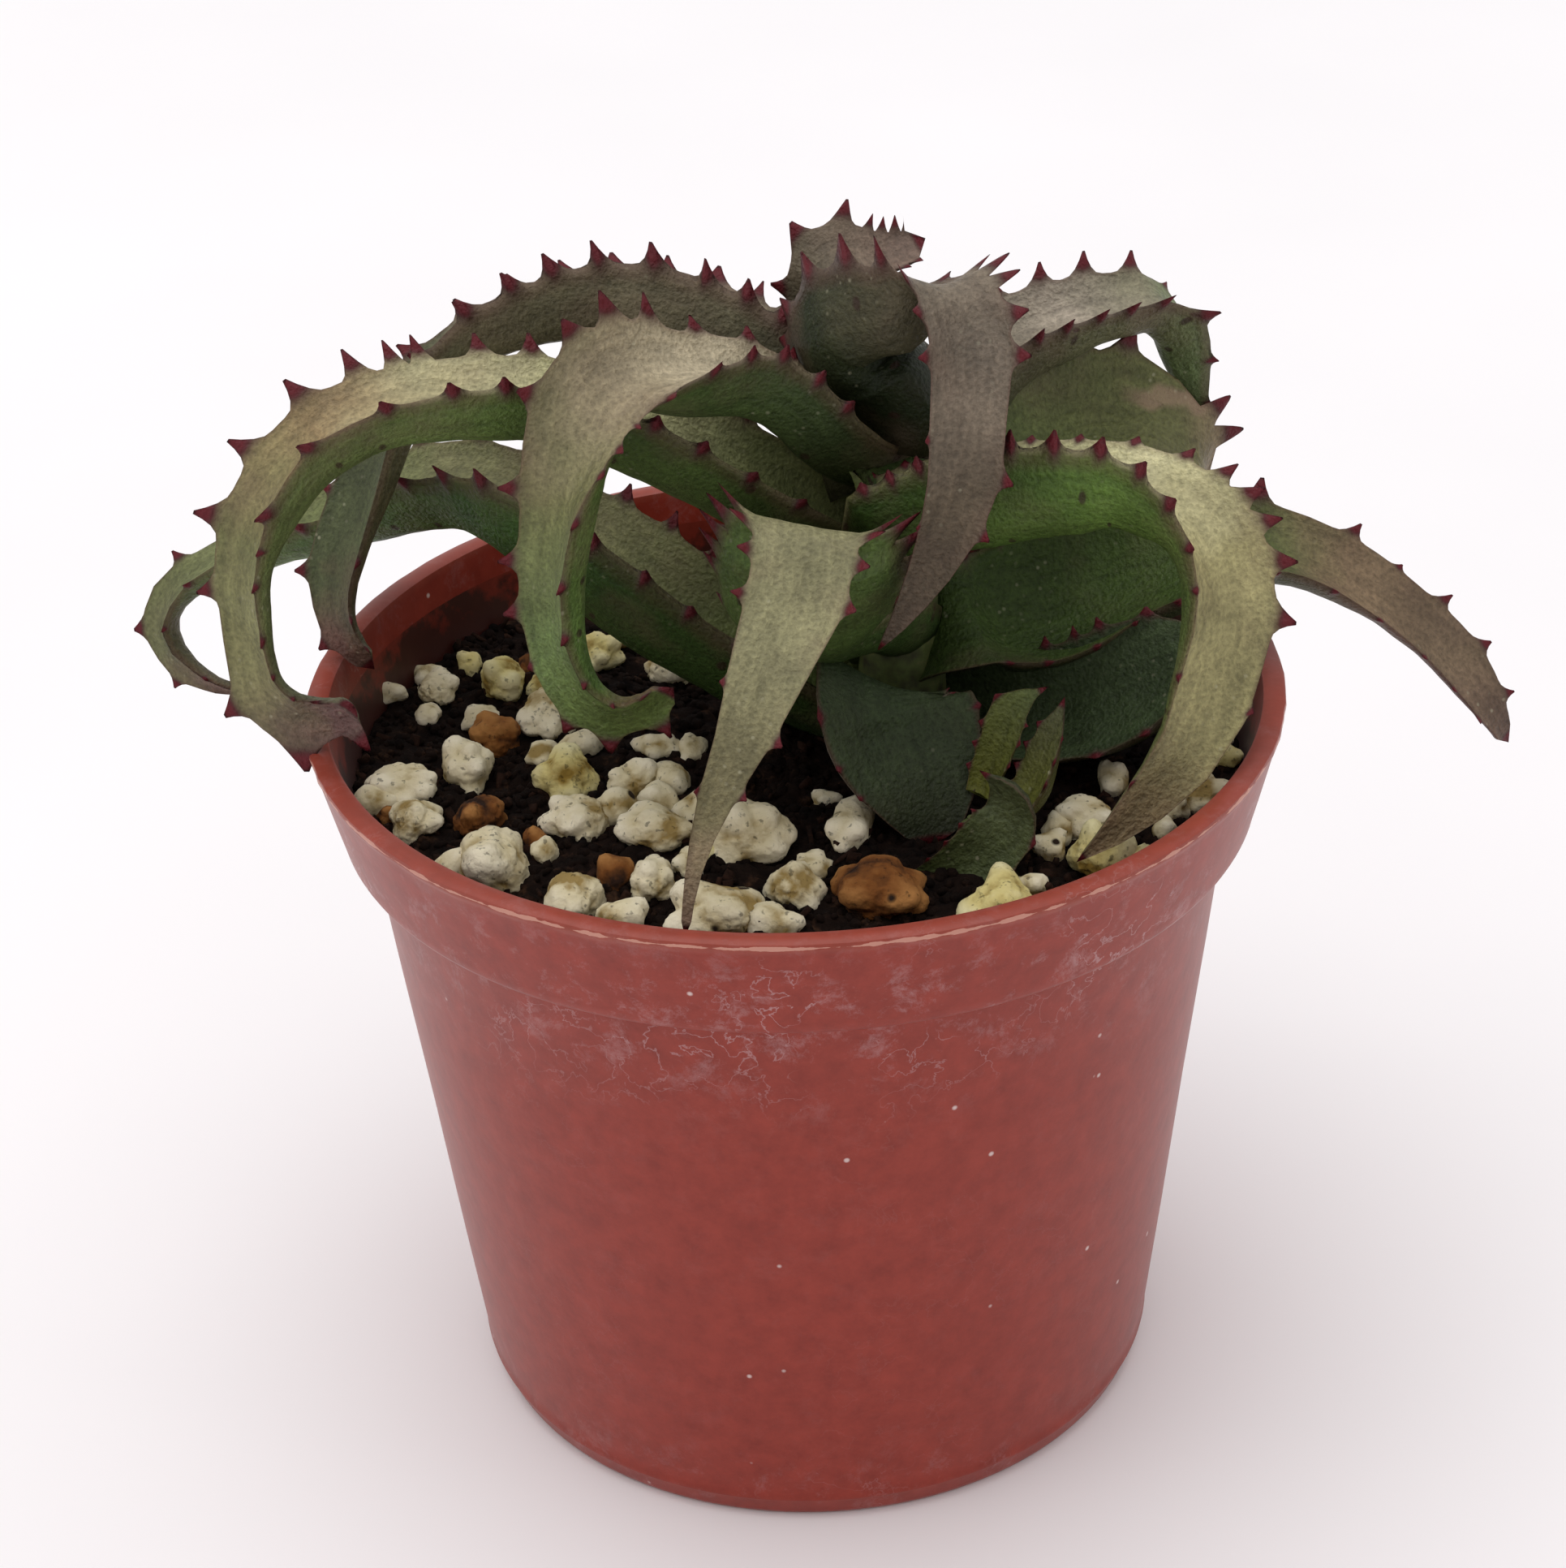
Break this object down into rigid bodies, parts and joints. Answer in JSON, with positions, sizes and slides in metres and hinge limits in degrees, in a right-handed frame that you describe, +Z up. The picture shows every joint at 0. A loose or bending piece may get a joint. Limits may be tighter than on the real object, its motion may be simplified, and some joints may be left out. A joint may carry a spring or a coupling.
{
  "type": "potted aloe",
  "caption": "Small toothed rosette succulent with arching, recurved leaves and a young offset, rooted in dark soil with pumice stones in a round tapered nursery pot.",
  "frame": {"origin": "on the pot's axis, on the surface that the pot stands on", "axes": "+Z up along the pot's axis, -Y towards the viewer of the picture, +X to the viewer's right, towards the longest leaf"},
  "size_m": [0.1244, 0.085, 0.1086],
  "materials": {
    "clay_stone": "rough, porous",
    "leaf_green": "matt waxy skin",
    "leaf_purple": "matt waxy skin",
    "leaf_grey_green": "matt waxy skin",
    "leaf_deep_green": "matt waxy skin",
    "stem_green": "smooth, fleshy",
    "pot_plastic": "injection-moulded, dull satin with scuffs",
    "pumice_cream": "rough, porous",
    "pumice_white": "rough, porous",
    "potting_soil": "crumbly, dark, dull"
  },
  "bodies": {
    "root": {"clay_stone_27": "clay_stone", "clay_stone_28": "clay_stone", "clay_stone_29": "clay_stone", "clay_stone_30": "clay_stone", "leaf_back": "leaf_green", "leaf_back_left": "leaf_purple", "leaf_back_right": "leaf_grey_green", "leaf_broad_right": "leaf_grey_green", "leaf_crown": "leaf_purple", "leaf_far_right": "leaf_purple", "leaf_front": "leaf_grey_green", "leaf_front_left": "leaf_grey_green", "leaf_front_right": "leaf_green", "leaf_left_arch": "leaf_grey_green", "leaf_low_back": "leaf_deep_green", "leaf_low_front": "leaf_deep_green", "leaf_low_left": "leaf_green", "leaf_low_right": "leaf_deep_green", "leaf_top": "leaf_purple", "offset_leaf_front": "leaf_deep_green", "offset_leaf_left": "leaf_green", "offset_leaf_right": "leaf_green", "offset_stem": "stem_green", "pot": "pot_plastic", "pumice_cream_02": "pumice_cream", "pumice_cream_09": "pumice_cream", "pumice_cream_16": "pumice_cream", "pumice_cream_19": "pumice_cream", "pumice_cream_21": "pumice_cream", "pumice_cream_26": "pumice_cream", "pumice_white_01": "pumice_white", "pumice_white_03": "pumice_white", "pumice_white_04": "pumice_white", "pumice_white_05": "pumice_white", "pumice_white_06": "pumice_white", "pumice_white_07": "pumice_white", "pumice_white_08": "pumice_white", "pumice_white_10": "pumice_white", "pumice_white_11": "pumice_white", "pumice_white_12": "pumice_white", "pumice_white_13": "pumice_white", "pumice_white_14": "pumice_white", "pumice_white_15": "pumice_white", "pumice_white_17": "pumice_white", "pumice_white_18": "pumice_white", "pumice_white_20": "pumice_white", "pumice_white_22": "pumice_white", "pumice_white_23": "pumice_white", "pumice_white_24": "pumice_white", "pumice_white_25": "pumice_white", "soil": "potting_soil", "stem": "stem_green"}
  },
  "joints": []
}
